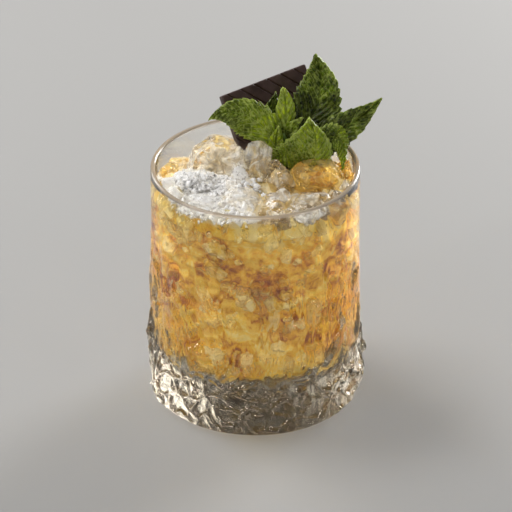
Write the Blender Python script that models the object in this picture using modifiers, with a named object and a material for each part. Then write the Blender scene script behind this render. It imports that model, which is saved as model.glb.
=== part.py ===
"""A bourbon and chocolate drink over crushed ice in a rocks glass with an ice-like relief.

It is dressed with a sprig of mint and a thin piece of dark chocolate.

Units are metres. The origin is the centre of the glass's foot, +Z is up, and the drink's front faces -Y.
"""

import math

import bmesh
import bpy
from mathutils import Matrix, Vector, noise

# The glass: a straight-sided tumbler with a thick base
GLASS_HEIGHT = 0.100
RIM_RADIUS = 0.041
RIM_WALL = 0.0020
BASE_THICKNESS = 0.016
CAVITY_RADIUS_LOW = 0.0375
CAVITY_CORNER_RADIUS = 0.014
FOOT_FILLET = 0.0025
SECTORS = 64

# The relief on its outer wall: shallow dents with ridges between them, taller than wide above the base
RELIEF_TOP = 0.077
RELIEF_FADE = 0.014
RELIEF_START = 0.006
RELIEF_WARP = 0.35
DENT_WIDTH = 0.0125
DENT_STRETCH_ABOVE = 0.030
DENT_STRETCH = 0.42
DENT_DEPTH = 0.0025
DENT_MIDDLE = 0.35
SWELL_WIDTH = 0.024
SWELL_HEIGHT = 0.0013
SWELL_SHIFT = Vector((3.1, 0.0, 7.7))
RELIEF_ROWS = 20
DRIFT_STEP = Vector((31.4, 15.9, 26.5))

# The drink and the ice that stands out of it
DRINK_LEVEL = 0.0875
CLEARANCE = 0.0003
WELD_DISTANCE = 0.000002
HEAP_SECTORS = 48
HEAP_RINGS = 14
HEAP_SMOOTHINGS = 3
HEAP_MIDDLE = (-0.004, -0.003)
HEAP_EDGE = 0.0895
HEAP_RISE = 0.0110
HEAP_ROUNDNESS = 1.6
HEAP_LOW_BACK = 0.0035
HEAP_HIGH_FRONT = 0.0060
HEAP_HIGH_SIDES = 0.0075
HEAP_GRAIN = 0.0016
HEAP_GRAIN_WIDTH = 0.007
LEAF_CLEARANCE = 0.0012
LEAF_SHADE = 0.0042

# Where the heap stands high at the wall, as shares of the wall's radius: outwards, and towards the front
AT_WALL = (0.75, 0.97)
SIDES_BEGIN = (-0.35, 0.05)
SIDES_END = (0.4, 0.9)

# The largest lumps of ice that shape the top of the heap: centre and radii along X, Y and Z
ICE_LUMPS = (
    ((-0.0153, 0.0050, 0.0992), (0.0112, 0.0092, 0.0102)),
    ((-0.0070, -0.0010, 0.1000), (0.0060, 0.0050, 0.0070)),
    ((0.0010, -0.0020, 0.1008), (0.0060, 0.0060, 0.0088)),
    ((0.0095, -0.0080, 0.0982), (0.0054, 0.0060, 0.0072)),
    ((0.0245, -0.0060, 0.0975), (0.0094, 0.0068, 0.0072)),
    ((0.0345, 0.0020, 0.0940), (0.0042, 0.0065, 0.0055)),
    ((-0.0340, 0.0010, 0.0945), (0.0044, 0.0068, 0.0052)),
    ((-0.0225, -0.0070, 0.0945), (0.0100, 0.0080, 0.0045)),
    ((-0.0200, -0.0190, 0.0930), (0.0100, 0.0085, 0.0045)),
    ((-0.0060, -0.0180, 0.0945), (0.0085, 0.0080, 0.0050)),
    ((0.0070, -0.0230, 0.0930), (0.0070, 0.0070, 0.0052)),
    ((0.0205, -0.0200, 0.0935), (0.0085, 0.0070, 0.0058)),
    ((0.0300, -0.0165, 0.0915), (0.0055, 0.0060, 0.0050)),
    ((0.0080, 0.0270, 0.0920), (0.0070, 0.0060, 0.0045)),
    ((-0.0080, 0.0250, 0.0915), (0.0075, 0.0070, 0.0045)),
)

# The chocolate: a thin plate with a bevelled edge and grooves across its face at 45 degrees
CHOCOLATE_WIDTH = 0.041
CHOCOLATE_HEIGHT = 0.036
CHOCOLATE_THICKNESS = 0.0026
CHOCOLATE_BEVEL = 0.0005
GROOVE_SPACING = 0.0046
GROOVE_DEPTH = 0.0005
CHOCOLATE_CORNER = Vector((-0.0130, 0.0105, 0.1250))
CHOCOLATE_ALONG = Vector((0.8006, 0.5980, 0.0316))
CHOCOLATE_DOWN = Vector((0.3254, -0.3900, -0.8610))

# The mint: a stem and the leaves that grow on it
STEM_RADIUS = 0.0012
STEM_FOOT = Vector((0.0155, 0.0045, 0.0900))
STEM_MIDDLE = Vector((0.0134, 0.0050, 0.1009))
STEM_TOP = Vector((0.0110, 0.0060, 0.1114))
BUD_SHARE = 0.93
BUD_RADIUS = 0.0022
BUD_TURN = 0.3
LEAF_THICKNESS = 0.0006
LEAF_ROWS = 9
LEAF_COLUMNS = 4
STEM_TAPER = 0.25
STEM_STEPS = 8
PETIOLE_SHARE = 0.12
PETIOLE_WIDTH = 0.07
CHORD_WEIGHT = 1.2
LEAF_START = 0.6
OVATE = 0.62
FULLNESS = 0.75

# Each leaf: how far up the stem it grows, the point its midrib bends towards, its tip, its half widths to
# the left and right of the midrib, the way its near face looks, and the degrees by which those halves fold
LEAVES = {
    "front": (
        0.10, (0.0283, -0.0060, 0.1040), (0.0210, -0.0015, 0.1222),
        (0.0165, 0.0074), (0.0, -1.0, 0.1), (-3, -20),
    ),
    "left_low": (
        0.24, (0.0053, 0.0040, 0.1044), (0.0092, 0.0035, 0.1157),
        (0.0042, 0.0042), (0.1, -1.0, 0.1), (4, 4),
    ),
    "right_low": (
        0.40, (0.0384, 0.0060, 0.1224), (0.0336, 0.0010, 0.0964),
        (0.0055, 0.0055), (0.2, -1.0, 0.2), (-8, -8),
    ),
    "left": (
        0.46, (-0.0036, 0.0055, 0.1290), (-0.0180, -0.0020, 0.1212),
        (0.0086, 0.0072), (-0.2, -1.0, 0.4), (-12, -4),
    ),
    "right": (
        0.62, (0.0329, 0.0100, 0.1062), (0.0495, 0.0150, 0.1218),
        (0.0074, 0.0070), (-0.2, -1.0, 0.1), (6, 8),
    ),
    "back": (
        0.78, (0.0312, 0.0195, 0.1178), (0.0236, 0.0230, 0.1370),
        (0.0102, 0.0102), (-0.1, -1.0, 0.25), (10, 6),
    ),
    "left_back": (
        0.84, (0.0040, 0.0125, 0.1140), (0.0080, 0.0135, 0.1253),
        (0.0047, 0.0047), (0.2, -1.0, 0.1), (8, 8),
    ),
    "young": (
        0.93, (0.0126, 0.0086, 0.1212), (0.0106, 0.0108, 0.1287),
        (0.0040, 0.0042), (0.2, -1.0, 0.2), (-10, -14),
    ),
    "curled": (
        0.82, (0.0144, 0.0044, 0.1118), (0.0186, 0.0052, 0.1184),
        (0.0044, 0.0026), (0.0, -0.3, 1.0), (50, 10),
    ),
}


def clear_scene():
    for thing in list(bpy.data.objects):
        bpy.data.objects.remove(thing, do_unlink=True)


def new_collection(name):
    made = bpy.data.collections.new(name)
    bpy.context.scene.collection.children.link(made)
    return made


def new_material(name, colour, roughness, transmission=0.0, ior=1.45):
    made = bpy.data.materials.new(name)
    made.use_nodes = True
    shader = made.node_tree.nodes["Principled BSDF"]
    shader.inputs["Base Color"].default_value = (*colour, 1.0)
    shader.inputs["Roughness"].default_value = roughness
    shader.inputs["Metallic"].default_value = 0.0
    shader.inputs["Transmission Weight"].default_value = transmission
    shader.inputs["IOR"].default_value = ior
    return made


def object_from_bmesh(name, built, collection, material=None):
    bmesh.ops.recalc_face_normals(built, faces=built.faces)
    mesh = bpy.data.meshes.new(name)
    built.to_mesh(mesh)
    built.free()
    made = bpy.data.objects.new(name, mesh)
    collection.objects.link(made)
    if material:
        mesh.materials.append(material)
    return made


def smooth_step(low, high, value):
    share = min(1.0, max(0.0, (value - low) / (high - low)))
    return share * share * (3.0 - 2.0 * share)


def arc(centre_r, centre_z, radius, start_degrees, end_degrees, steps):
    """Points (r, z) along an arc, both ends included."""
    points = []
    for step in range(steps + 1):
        angle = math.radians(start_degrees + (end_degrees - start_degrees) * step / steps)
        points.append((centre_r + radius * math.cos(angle), centre_z + radius * math.sin(angle)))
    return points


def turned(profile, sectors):
    """A bmesh turned about Z from a profile of (r, z) points that starts and ends on the axis."""
    built = bmesh.new()
    verts = [built.verts.new((r, 0.0, z)) for r, z in profile]
    edges = [built.edges.new(pair) for pair in zip(verts, verts[1:])]
    bmesh.ops.spin(
        built,
        geom=verts + edges,
        axis=(0.0, 0.0, 1.0),
        cent=(0.0, 0.0, 0.0),
        angle=2.0 * math.pi,
        steps=sectors,
        use_merge=True,
    )
    bmesh.ops.remove_doubles(built, verts=built.verts, dist=1e-6)
    return built


def drift(place):
    """A smooth change of place, the same for each run."""
    return Vector((noise.noise(place), noise.noise(place + DRIFT_STEP), noise.noise(place - DRIFT_STEP)))


def relief_height(angle, z):
    """How far the glass's outer wall stands out from the plain cylinder at that place."""
    fade = 1.0 - smooth_step(RELIEF_TOP - RELIEF_FADE, RELIEF_TOP, z)
    fade *= smooth_step(0.0, RELIEF_START, z)
    low_part = min(z, DENT_STRETCH_ABOVE)
    high_part = max(0.0, z - DENT_STRETCH_ABOVE) * DENT_STRETCH
    place = Vector((RIM_RADIUS * math.cos(angle), RIM_RADIUS * math.sin(angle), low_part + high_part))
    swell = noise.noise(place / SWELL_WIDTH + SWELL_SHIFT)
    warp = drift(place / SWELL_WIDTH) * RELIEF_WARP
    nearest = noise.voronoi(place / DENT_WIDTH + warp)[0][0]
    dent = min(1.0, nearest) ** 2 - DENT_MIDDLE
    return fade * (SWELL_HEIGHT * swell + DENT_DEPTH * dent)


def cavity_radius(z):
    """The inner wall's radius above the rounded corner: it widens a little towards the rim."""
    low = BASE_THICKNESS + CAVITY_CORNER_RADIUS
    share = (z - low) / (GLASS_HEIGHT - low)
    return CAVITY_RADIUS_LOW + (RIM_RADIUS - RIM_WALL - CAVITY_RADIUS_LOW) * share


def cavity_profile(top, gap):
    """The cavity's wall from a height down to the axis, drawn in by a gap, as (r, z) points."""
    low = BASE_THICKNESS + CAVITY_CORNER_RADIUS
    wall = [(cavity_radius(z) - gap, z) for z in (top, (top + low) * 0.5)]
    corner = arc(
        CAVITY_RADIUS_LOW - CAVITY_CORNER_RADIUS, low, CAVITY_CORNER_RADIUS - gap, 0.0, -90.0, 6
    )
    return wall + corner + [(0.0, BASE_THICKNESS + gap)]


def make_glass(collection, material):
    foot = [(0.0, 0.0)] + arc(RIM_RADIUS - FOOT_FILLET, FOOT_FILLET, FOOT_FILLET, -90.0, 0.0, 3)
    lip_z = GLASS_HEIGHT - RIM_WALL / 2
    rows = [
        FOOT_FILLET + (RELIEF_TOP - FOOT_FILLET) * (row + 1) / RELIEF_ROWS for row in range(RELIEF_ROWS)
    ]
    outer = [(RIM_RADIUS, z) for z in rows]
    lip = arc(RIM_RADIUS - RIM_WALL / 2, lip_z, RIM_WALL / 2, 0.0, 180.0, 4)
    built = turned(foot + outer + lip + cavity_profile(GLASS_HEIGHT * 0.9, 0.0), SECTORS)
    edge = RIM_RADIUS - 1e-6
    for vert in built.verts:
        radius = math.hypot(vert.co.x, vert.co.y)
        if radius > edge and vert.co.z < RELIEF_TOP:
            scale = 1.0 + relief_height(math.atan2(vert.co.y, vert.co.x), vert.co.z) / radius
            vert.co.x *= scale
            vert.co.y *= scale
    return object_from_bmesh("glass", built, collection, material)


def make_drink(collection, material):
    built = turned([(0.0, DRINK_LEVEL)] + cavity_profile(DRINK_LEVEL, CLEARANCE), HEAP_SECTORS)
    return object_from_bmesh("drink", built, collection, material)


def heap_height(x, y):
    """The top of the ice: a mound, high at the front and sides and low at the back left, with large lumps."""
    wall = cavity_radius(DRINK_LEVEL)
    radius = min(1.0, math.hypot(x - HEAP_MIDDLE[0], y - HEAP_MIDDLE[1]) / wall)
    back_left = max(0.0, y - x) / (wall * math.sqrt(2.0))
    forward = -y / wall
    top = HEAP_EDGE + HEAP_RISE * (1.0 - radius**HEAP_ROUNDNESS)
    sides = smooth_step(*AT_WALL, math.hypot(x, y) / wall)
    sides *= smooth_step(*SIDES_BEGIN, forward) * (1.0 - smooth_step(*SIDES_END, forward))
    top += max(HEAP_HIGH_FRONT * max(0.0, forward) ** 2, HEAP_HIGH_SIDES * sides)
    top -= HEAP_LOW_BACK * back_left
    for centre, radii in ICE_LUMPS:
        across = ((x - centre[0]) / radii[0]) ** 2 + ((y - centre[1]) / radii[1]) ** 2
        if across < 1.0:
            top = max(top, centre[2] + radii[2] * math.sqrt(1.0 - across))
    return top + HEAP_GRAIN * noise.noise(Vector((x, y, 0.0)) / HEAP_GRAIN_WIDTH)


def height_under_leaves(place, leaf_points):
    """How high the ice may reach at a place without touching a leaf."""
    near = [point.z for point in leaf_points if (point.xy - place.xy).length < LEAF_SHADE]
    return min(near, default=GLASS_HEIGHT * 2) - LEAF_CLEARANCE


def make_ice_heap(collection, material, leaf_points):
    """The heap's outline, kept clear of the leaves that hang over it."""
    wall = cavity_radius(DRINK_LEVEL) - CLEARANCE
    foot = DRINK_LEVEL + CLEARANCE
    rings = [wall * ring / HEAP_RINGS for ring in range(HEAP_RINGS + 1)]
    skirt = foot + CLEARANCE * 3
    top_rings = [(radius, skirt) for radius in reversed(rings)]
    built = turned([(0.0, foot), (wall, foot)] + top_rings, HEAP_SECTORS)
    limits = {
        vert: max(skirt, height_under_leaves(vert.co, leaf_points))
        for vert in built.verts if vert.co.z > skirt - CLEARANCE
    }
    for vert, limit in limits.items():
        vert.co.z = max(skirt, min(limit, heap_height(vert.co.x, vert.co.y)))
    for _ in range(HEAP_SMOOTHINGS):
        heights = {vert: vert.co.z for vert in limits}
        for vert, limit in limits.items():
            around = [edge.other_vert(vert) for edge in vert.link_edges]
            beside = [heights[other] for other in around if other in heights]
            vert.co.z = min(limit, (heights[vert] + sum(beside) / len(beside)) / 2)
    return object_from_bmesh("ice_heap", built, collection, material)


def make_chocolate(collection, cutters, material):
    """The plate lies in its own X (width), Y (height, down) and Z (out of its face) until it is placed."""
    built = bmesh.new()
    size = Vector((CHOCOLATE_WIDTH, CHOCOLATE_HEIGHT, CHOCOLATE_THICKNESS))
    bmesh.ops.create_cube(built, size=1.0, matrix=Matrix.Diagonal(size.to_4d()))
    bmesh.ops.translate(built, verts=built.verts, vec=(size.x / 2, -size.y / 2, -size.z / 2))
    bmesh.ops.bevel(
        built, geom=list(built.edges), offset=CHOCOLATE_BEVEL, segments=2, affect="EDGES", profile=0.5
    )
    plate = object_from_bmesh("chocolate", built, collection, material)

    grooves = bmesh.new()
    across = Vector((1.0, 1.0, 0.0)).normalized()
    length = CHOCOLATE_WIDTH + CHOCOLATE_HEIGHT
    side = GROOVE_DEPTH * math.sqrt(2.0)
    middle = Vector((CHOCOLATE_WIDTH / 2, -CHOCOLATE_HEIGHT / 2, 0.0))
    turn = Matrix.Rotation(math.radians(-45.0), 4, "Z") @ Matrix.Rotation(math.radians(45.0), 4, "X")
    count = int(length / math.sqrt(2.0) / GROOVE_SPACING) // 2
    for number in range(-count, count + 1):
        place = Matrix.Translation(middle + across * GROOVE_SPACING * number)
        shape = Matrix.Diagonal(Vector((length, side, side, 1.0)))
        bmesh.ops.create_cube(grooves, size=1.0, matrix=place @ turn @ shape)
    cutter = object_from_bmesh("chocolate_grooves", grooves, cutters)
    cut(plate, cutter)

    along = CHOCOLATE_ALONG.normalized()
    up = -(CHOCOLATE_DOWN - along * CHOCOLATE_DOWN.dot(along)).normalized()
    out = along.cross(up)
    place = Matrix((along, up, out)).transposed().to_4x4()
    place.translation = CHOCOLATE_CORNER
    plate.matrix_world = place
    cutter.matrix_world = place
    return plate


def cut(target, cutter, operation="DIFFERENCE"):
    cutter.hide_render = True
    cutter.display_type = "WIRE"
    boolean = target.modifiers.new(f"{operation.lower()}_{cutter.name}", "BOOLEAN")
    boolean.operation = operation
    boolean.object = cutter
    boolean.solver = "EXACT"
    return boolean


def between(start, bend, end, share):
    """A point on the curve from start to end that leans towards bend."""
    rest = 1.0 - share
    return start * (rest * rest) + bend * (2.0 * rest * share) + end * (share * share)


def stem_point(foot, share):
    """A point on the stem's centre line, which passes near STEM_MIDDLE."""
    return between(foot, STEM_MIDDLE * 2 - (STEM_FOOT + STEM_TOP) / 2, STEM_TOP, share)


def leaf_width(share):
    """An ovate outline: a narrow stalk, widest before the middle, and a pointed tip."""
    along_blade = min(1.0, max(0.0, (share - PETIOLE_SHARE) / (1.0 - PETIOLE_SHARE)))
    return PETIOLE_WIDTH + (1.0 - PETIOLE_WIDTH) * math.sin(math.pi * along_blade**OVATE) ** FULLNESS


def leaf_surface(name):
    """The leaf's mid surface as rows of points from its stalk to its tip."""
    height, bend, tip, half_widths, facing, folds = LEAVES[name]
    bend, tip, facing = Vector(bend), Vector(tip), Vector(facing)
    root = stem_point(STEM_FOOT, height)
    on_bud = (root - stem_point(STEM_FOOT, BUD_SHARE)).length < BUD_RADIUS * 0.8
    base = root + (bend - root).normalized() * (BUD_RADIUS if on_bud else STEM_RADIUS) * LEAF_START
    chord = (tip - base).normalized()
    rows = []
    for row in range(LEAF_ROWS + 1):
        share = row / LEAF_ROWS
        tangent = ((bend - base) * (1.0 - share) + (tip - bend) * share).normalized()
        forward = (tangent + chord * CHORD_WEIGHT).normalized()
        side = forward.cross(facing).normalized()
        lift = side.cross(forward)
        middle = between(base, bend, tip, share)
        points = []
        for column in range(LEAF_COLUMNS + 1):
            offset = 2.0 * column / LEAF_COLUMNS - 1.0
            which = 0 if offset < 0 else 1
            fold = math.radians(folds[which])
            reach = half_widths[which] * leaf_width(share)
            out = side * offset * reach * math.cos(fold)
            points.append(middle + out + lift * abs(offset) * reach * math.sin(fold))
        rows.append(points)
    return rows


def make_leaf(name, collection):
    rows = leaf_surface(name)
    built = bmesh.new()
    grid = [[built.verts.new(point) for point in row] for row in rows]
    for low, high in zip(grid, grid[1:]):
        for column in range(LEAF_COLUMNS):
            built.faces.new((low[column], low[column + 1], high[column + 1], high[column]))
    made = object_from_bmesh(f"leaf_{name}", built, collection)
    solidify = made.modifiers.new("thickness", "SOLIDIFY")
    solidify.thickness = LEAF_THICKNESS
    solidify.offset = 0.0
    return made


def make_stem_mesh(name, radius, foot, collection, material=None):
    """A tapering round stem as a closed mesh, made from a bevelled curve."""
    curve = bpy.data.curves.new(name, "CURVE")
    curve.dimensions = "3D"
    curve.bevel_depth = radius
    curve.bevel_resolution = 2
    curve.use_fill_caps = True
    spline = curve.splines.new("POLY")
    spline.points.add(STEM_STEPS)
    for step in range(STEM_STEPS + 1):
        share = step / STEM_STEPS
        spline.points[step].co = (*stem_point(foot, share), 1.0)
        spline.points[step].radius = 1.0 - STEM_TAPER * share
    holder = bpy.data.objects.new(name + "_curve", curve)
    collection.objects.link(holder)
    made = object_from_bmesh(name, welded_copy(holder), collection, material)
    bpy.data.objects.remove(holder)
    return made


def welded_copy(holder):
    """The object's evaluated mesh with its coinciding points made one."""
    bpy.context.view_layer.update()
    mesh = bpy.data.meshes.new_from_object(holder.evaluated_get(bpy.context.evaluated_depsgraph_get()))
    welded = bmesh.new()
    welded.from_mesh(mesh)
    bpy.data.meshes.remove(mesh)
    bmesh.ops.remove_doubles(welded, verts=welded.verts, dist=WELD_DISTANCE)
    bmesh.ops.dissolve_degenerate(welded, edges=welded.edges, dist=WELD_DISTANCE)
    bmesh.ops.triangulate(welded, faces=[face for face in welded.faces if len(face.verts) > 4])
    return welded


def make_mint(collection, cutters, material):
    """The sprig grows as one piece: the bud and the leaves are joined to the stem."""
    grown = bpy.data.collections.new("mint_leaves")
    cutters.children.link(grown)
    bud = bmesh.new()
    place = Matrix.Translation(stem_point(STEM_FOOT, BUD_SHARE)) @ Matrix.Rotation(BUD_TURN, 4, "X")
    bmesh.ops.create_icosphere(bud, subdivisions=2, radius=BUD_RADIUS, matrix=place)
    object_from_bmesh("mint_bud", bud, grown)
    for name in LEAVES:
        make_leaf(name, grown)
    for piece in grown.objects:
        piece.hide_render = True
        piece.display_type = "WIRE"
    sprig = make_stem_mesh("mint_sprig", STEM_RADIUS, STEM_FOOT, collection, material)
    joined = sprig.modifiers.new("union_leaves", "BOOLEAN")
    joined.operation = "UNION"
    joined.operand_type = "COLLECTION"
    joined.collection = grown
    joined.solver = "EXACT"
    return sprig


def cut_heap_round_garnish(heap, cutters):
    """Leaves a gap in the ice round the stem and the chocolate."""
    below = (STEM_FOOT - STEM_MIDDLE).normalized() * CLEARANCE
    hole = make_stem_mesh("stem_hole", STEM_RADIUS + CLEARANCE, STEM_FOOT + below, cutters)
    cut(heap, hole)
    slot = bmesh.new()
    size = Vector((CHOCOLATE_WIDTH, CHOCOLATE_HEIGHT, CHOCOLATE_THICKNESS))
    size += Vector((1.0, 1.0, 1.0)) * 2 * CLEARANCE
    bmesh.ops.create_cube(slot, size=1.0, matrix=Matrix.Diagonal(size.to_4d()))
    centre = Vector((CHOCOLATE_WIDTH, -CHOCOLATE_HEIGHT, -CHOCOLATE_THICKNESS)) / 2
    bmesh.ops.translate(slot, verts=slot.verts, vec=centre)
    cutter = object_from_bmesh("chocolate_slot", slot, cutters)
    cutter.matrix_world = bpy.data.objects["chocolate"].matrix_world
    cut(heap, cutter)


def shade(made, angle_degrees=40.0):
    made.data.shade_smooth()
    made.data.set_sharp_from_angle(angle=math.radians(angle_degrees))


def main():
    clear_scene()
    parts = new_collection("chocolate_bourbon_stinger")
    cutters = new_collection("cutters")
    clear_glass = new_material("glass", (0.97, 0.98, 0.97), 0.02, transmission=1.0, ior=1.52)
    amber = new_material("drink", (0.78, 0.46, 0.12), 0.05, transmission=0.6, ior=1.35)
    ice = new_material("ice", (0.93, 0.92, 0.88), 0.10, transmission=0.8, ior=1.31)
    cocoa = new_material("chocolate", (0.055, 0.028, 0.020), 0.35)
    green = new_material("mint", (0.09, 0.26, 0.03), 0.50)

    glass = make_glass(parts, clear_glass)
    drink = make_drink(parts, amber)
    chocolate = make_chocolate(parts, cutters, cocoa)
    mint = make_mint(parts, cutters, green)
    leaf_points = [point for name in LEAVES for row in leaf_surface(name) for point in row]
    heap = make_ice_heap(parts, ice, leaf_points)
    cut_heap_round_garnish(heap, cutters)
    for made in (glass, drink, chocolate, mint, heap):
        shade(made)


main()
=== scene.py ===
"""The looks of a bourbon and chocolate drink: crushed ice in amber liquid in a rocks glass with an
ice-like relief, dressed with a sprig of mint and a thin piece of dark chocolate.

Units are metres. The origin is the centre of the glass's foot, +Z is up, and the drink's front faces -Y.
"""

import math

import bmesh
import bpy
import numpy as np
from mathutils import Matrix, Vector, noise


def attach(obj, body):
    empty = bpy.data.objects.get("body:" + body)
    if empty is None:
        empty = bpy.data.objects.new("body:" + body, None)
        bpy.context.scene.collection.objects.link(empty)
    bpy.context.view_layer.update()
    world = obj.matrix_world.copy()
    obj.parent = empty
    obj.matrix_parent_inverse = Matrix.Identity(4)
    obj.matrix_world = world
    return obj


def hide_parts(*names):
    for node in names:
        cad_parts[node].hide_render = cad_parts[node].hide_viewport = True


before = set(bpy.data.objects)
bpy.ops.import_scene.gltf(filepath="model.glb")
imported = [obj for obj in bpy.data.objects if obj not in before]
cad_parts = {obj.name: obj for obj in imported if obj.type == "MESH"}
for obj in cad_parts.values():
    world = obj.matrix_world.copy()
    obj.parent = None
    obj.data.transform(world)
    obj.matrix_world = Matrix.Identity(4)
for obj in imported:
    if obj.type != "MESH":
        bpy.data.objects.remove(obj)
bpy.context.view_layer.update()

# The glass, as in the frame
GLASS_HEIGHT = 0.100
RIM_RADIUS = 0.041
RIM_WALL = 0.0020
BASE_THICKNESS = 0.016
CAVITY_RADIUS_LOW = 0.0375
CAVITY_CORNER_RADIUS = 0.014
FOOT_FILLET = 0.0025
RELIEF_TOP = 0.077
RELIEF_FADE = 0.014
RELIEF_START = 0.006
RELIEF_WARP = 0.35
DENT_WIDTH = 0.0125
DENT_STRETCH_ABOVE = 0.030
DENT_STRETCH = 0.42
DENT_DEPTH = 0.0025
DENT_MIDDLE = 0.35
SWELL_WIDTH = 0.024
SWELL_HEIGHT = 0.0013
SWELL_SHIFT = Vector((3.1, 0.0, 7.7))
DRIFT_STEP = Vector((31.4, 15.9, 26.5))

# The finer relief that only the looks have
GLASS_SECTORS = 560
BASE_ROWS = 62
WALL_ROWS = 48
FINE_START = 0.004
WARP_WIDTH = 0.011
WARP_REACH = 0.004
STREAM_WIDTH = 0.0055
STREAM_LENGTH = 0.017
STREAM_HEIGHT = 0.0013
RIDGE_SPACING = 0.0075
RIDGE_SHARPNESS = 0.13
RIDGE_HEIGHT = 0.0013
PEBBLE_WIDTH = 0.0036
PEBBLE_HEIGHT = 0.00030
PEBBLE_TOP = 0.031

# Ridges like frozen runs of water down the wall: the degrees and height where each starts and ends, and
# how far it stands out
RUNS = (
    (-28.0, 0.0510, -48.0, 0.0280, 0.0016),
    (-20.0, 0.0660, -24.0, 0.0480, 0.0009),
    (-12.0, 0.0480, -20.0, 0.0300, 0.0012),
    (-168.0, 0.0560, -160.0, 0.0400, 0.0011),
    (-176.0, 0.0460, -165.0, 0.0280, 0.0013),
    (-155.0, 0.0640, -150.0, 0.0520, 0.0008),
    (-135.0, 0.0420, -122.0, 0.0270, 0.0009),
    (-95.0, 0.0380, -84.0, 0.0260, 0.0007),
    (28.0, 0.0520, 44.0, 0.0300, 0.0012),
    (70.0, 0.0600, 82.0, 0.0340, 0.0010),
    (118.0, 0.0500, 104.0, 0.0280, 0.0013),
    (152.0, 0.0620, 143.0, 0.0380, 0.0010),
)
RUN_WIDTH = 0.0016
RUN_WANDER = 0.4
RUN_WANDER_LENGTH = 0.004

# The drink and the ice, as in the frame
DRINK_LEVEL = 0.0875
CLEARANCE = 0.0003
HEAP_MIDDLE = (-0.004, -0.003)
HEAP_EDGE = 0.0895
HEAP_RISE = 0.0110
HEAP_ROUNDNESS = 1.6
HEAP_LOW_BACK = 0.0035
HEAP_HIGH_FRONT = 0.0060
HEAP_HIGH_SIDES = 0.0075
HEAP_GRAIN = 0.0016
HEAP_GRAIN_WIDTH = 0.007

# Shares of the glass's radius, outwards or towards the front, over which the heap changes, as in the frame,
# and over which the drink creeps up in it
AT_WALL = (0.75, 0.97)
SIDES_BEGIN = (-0.35, 0.05)
SIDES_END = (0.4, 0.9)
CREEP = (0.78, 0.94)

# Each large lump: its centre and radii, close to those in the frame, then how clear and how golden it looks.
# The first is the dome
ICE_LUMPS = (
    ((-0.0160, 0.0050, 0.0982), (0.0124, 0.0092, 0.0094), 0.91, 0.16),
    ((-0.0070, -0.0010, 0.1000), (0.0060, 0.0050, 0.0070), 0.58, 0.26),
    ((0.0010, -0.0020, 0.1008), (0.0060, 0.0060, 0.0088), 0.62, 0.40),
    ((0.0095, -0.0080, 0.0982), (0.0054, 0.0060, 0.0072), 0.86, 0.38),
    ((0.0245, -0.0060, 0.0975), (0.0094, 0.0068, 0.0072), 0.75, 0.95),
    ((0.0345, 0.0020, 0.0940), (0.0042, 0.0065, 0.0055), 0.80, 1.00),
    ((-0.0340, 0.0010, 0.0945), (0.0044, 0.0068, 0.0052), 0.80, 0.65),
    ((-0.0225, -0.0070, 0.0945), (0.0100, 0.0080, 0.0045), 0.20, 0.00),
    ((-0.0200, -0.0190, 0.0930), (0.0100, 0.0085, 0.0045), 0.40, 0.05),
    ((-0.0060, -0.0180, 0.0945), (0.0085, 0.0080, 0.0050), 0.50, 0.10),
    ((0.0070, -0.0230, 0.0930), (0.0070, 0.0070, 0.0052), 0.95, 0.20),
    ((0.0205, -0.0200, 0.0935), (0.0085, 0.0070, 0.0058), 0.95, 0.10),
    ((0.0300, -0.0165, 0.0915), (0.0055, 0.0060, 0.0050), 0.95, 0.60),
    ((0.0080, 0.0270, 0.0920), (0.0070, 0.0060, 0.0045), 0.85, 0.15),
    ((-0.0080, 0.0250, 0.0915), (0.0075, 0.0070, 0.0045), 0.85, 0.05),
)

# Smaller lumps that catch the eye: a white splinter, a white sparkle, a golden ball, a clear drop, a golden
# lump and a pale one behind
SMALL_LUMPS = (
    ((-0.0055, -0.0075, 0.0995), (0.0028, 0.0018, 0.0038), 0.10, 0.00),
    ((0.0335, -0.0060, 0.0943), (0.0036, 0.0024, 0.0018), 0.15, 0.00),
    ((0.0310, -0.0195, 0.0893), (0.0044, 0.0040, 0.0044), 0.70, 0.95),
    ((0.0100, -0.0345, 0.0952), (0.0034, 0.0026, 0.0042), 1.05, 0.05),
    ((-0.0280, 0.0170, 0.0900), (0.0056, 0.0052, 0.0040), 0.62, 0.55),
    ((-0.0120, 0.0325, 0.0898), (0.0090, 0.0046, 0.0032), 0.35, 0.30),
)

# How the liquid and the ice fill the glass
WALL_OVERLAP = 0.00015
LIQUID_SECTORS = 192
SLUSH_INSET = 0.0065
SLUSH_RELIEF = 0.0030
SLUSH_LUMP_WIDTH = 0.0065
SLUSH_GRAIN = 0.0006
SLUSH_GRAIN_WIDTH = 0.0015
SLUSH_TOP = 0.0885
LIQUID_RINGS = 48
HEAP_DRY = 0.0008
HEAP_INSET = 0.0050
HEAP_CORE_DEPTH = 0.0025
HEAP_CORE_FOOT = 0.002
HEAP_CORE_GRAIN = 0.0009
HEAP_CORE_GRAIN_WIDTH = 0.004
SUNK_COUNT = 620
SUNK_RADII = (0.0014, 0.0058)
SUNK_AT_TOP = 0.20
SUNK_TOP_DEPTH = 0.006
SUNK_FOOT = 0.003
SHARD_KINDS = 24
SHARD_CORNERS = 13
SHARD_BEVEL = 0.13
LUMP_FACETS = 15
LUMP_SHARPNESS = 60.0
LUMP_FULLNESS = 0.99
LUMP_WAVES = 0.04
LUMP_PITS = 0.10
LUMP_GRIT = 0.32
CLOUD_SHARE = 0.46
CHIP_COUNT = 64
CHIP_RADII = (0.0018, 0.0046)
WALL_CHIP_COUNT = 60
GRAIN_COUNT = 1000
GRAIN_RADII = (0.0004, 0.0018)

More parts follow.
